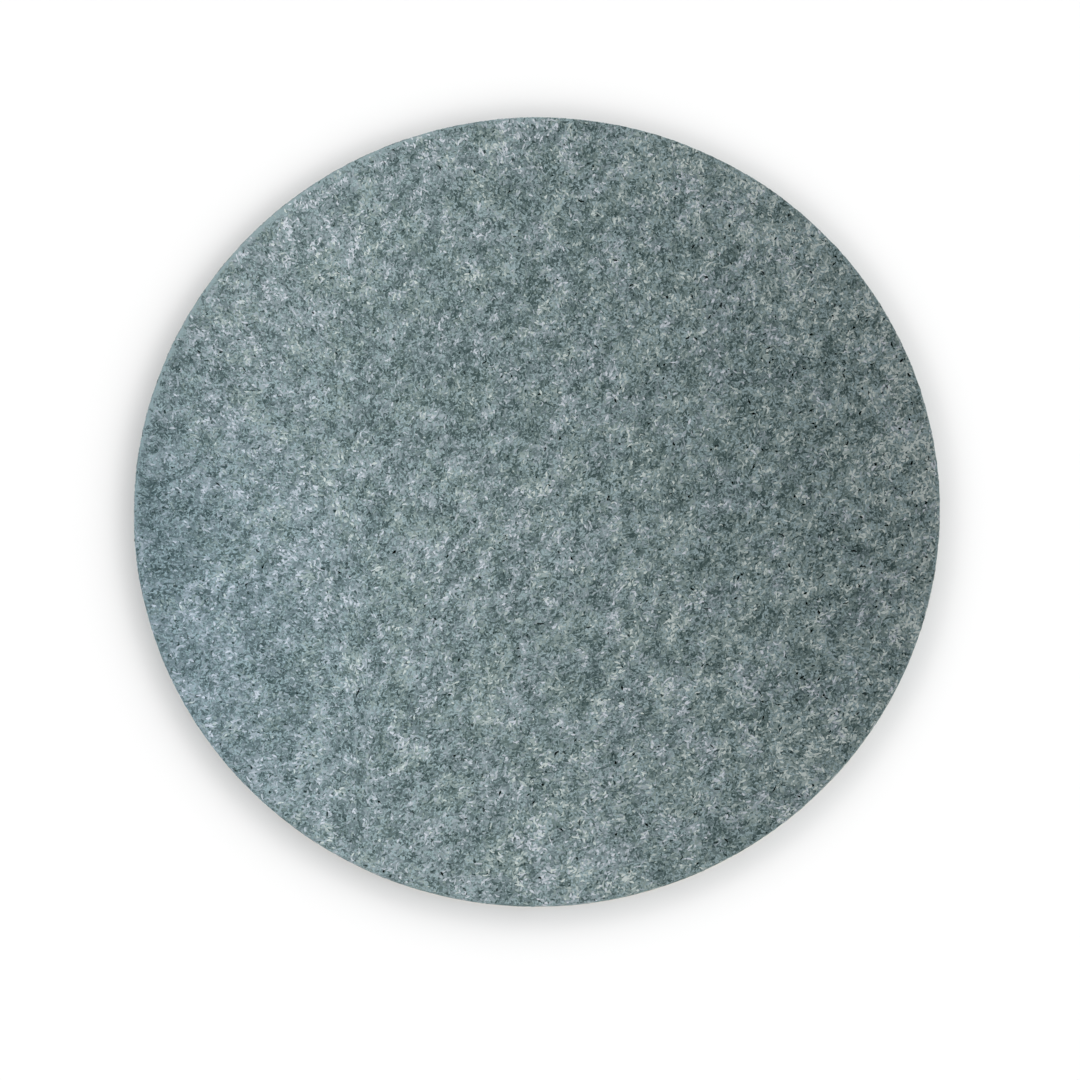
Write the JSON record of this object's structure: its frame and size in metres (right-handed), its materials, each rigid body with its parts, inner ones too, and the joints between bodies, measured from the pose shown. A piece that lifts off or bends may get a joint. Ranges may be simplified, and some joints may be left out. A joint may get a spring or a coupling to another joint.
{
  "type": "felt polishing disc",
  "caption": "Thin plain round felt disc with a self-adhesive back on a peel-off liner, for polishing stones on a flat lap.",
  "frame": {"origin": "centre of the release liner's underside, on the surface that the disc lies on", "axes": "+Z along the disc's axis, from the liner up to the polishing face; the disc is round, so X and Y are free"},
  "size_m": [0.1524, 0.1524, 0.0036],
  "materials": {
    "felt": "pressed wool felt, heathered grey-green, matt and lightly fuzzy",
    "adhesive": "tacky translucent adhesive, satin",
    "carrier_film": "clear polyester film, gloss",
    "liner_paper": "kraft paper, silicone-coated on the upper side, satin"
  },
  "bodies": {
    "liner": {"release_liner": "liner_paper"},
    "disc": {"lap_adhesive": "adhesive", "carrier_film": "carrier_film", "felt_adhesive": "adhesive", "felt_pad": "felt"}
  },
  "joints": [
    {"name": "liner_release", "type": "slide", "parent": "liner", "child": "disc", "axis": [0, 0, 1], "range_m": [0, 0.04]}
  ]
}
